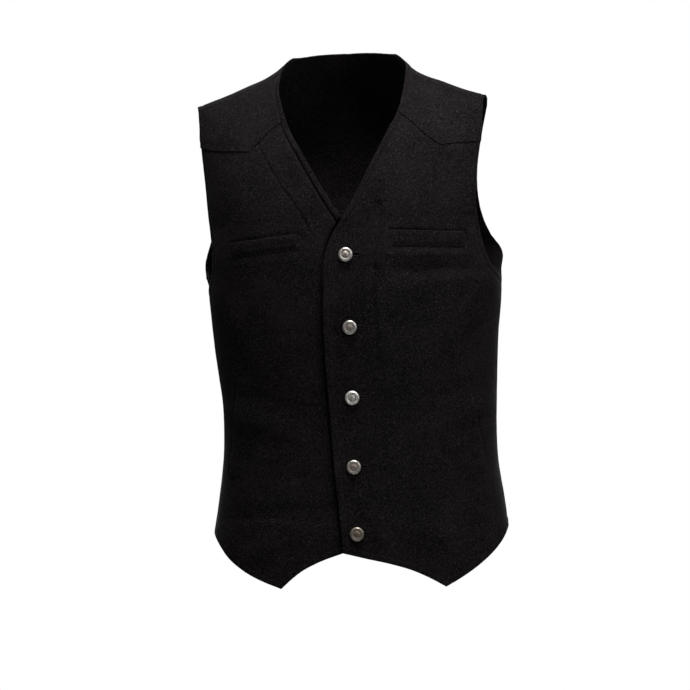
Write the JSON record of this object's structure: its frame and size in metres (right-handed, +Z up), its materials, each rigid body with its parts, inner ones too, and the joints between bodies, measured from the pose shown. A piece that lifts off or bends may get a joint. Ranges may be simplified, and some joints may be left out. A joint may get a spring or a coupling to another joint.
{
  "type": "western vest",
  "caption": "Men's western vest in charcoal wool, worn and buttoned: V neck, pointed front yokes, chest and hand pocket welts, pointed hem.",
  "frame": {"origin": "centre of the neck hole, level with the high points of the shoulders, where the wearer holds the vest up", "axes": "+X the wearer's left, -Y the front, +Z up"},
  "size_m": [0.3837, 0.2489, 0.6828],
  "materials": {
    "wool": "charcoal-black melton wool, matt, fine grey heather",
    "button": "antique nickel, domed, worn bright on the rim"
  },
  "bodies": {
    "root": {"back": "wool", "button_1": "button", "button_2": "button", "button_3": "button", "button_4": "button", "button_5": "button", "chest_welt_left": "wool", "chest_welt_right": "wool", "front_left": "wool", "front_right": "wool", "pocket_welt_left": "wool", "pocket_welt_right": "wool", "yoke_left": "wool", "yoke_right": "wool"}
  },
  "joints": []
}
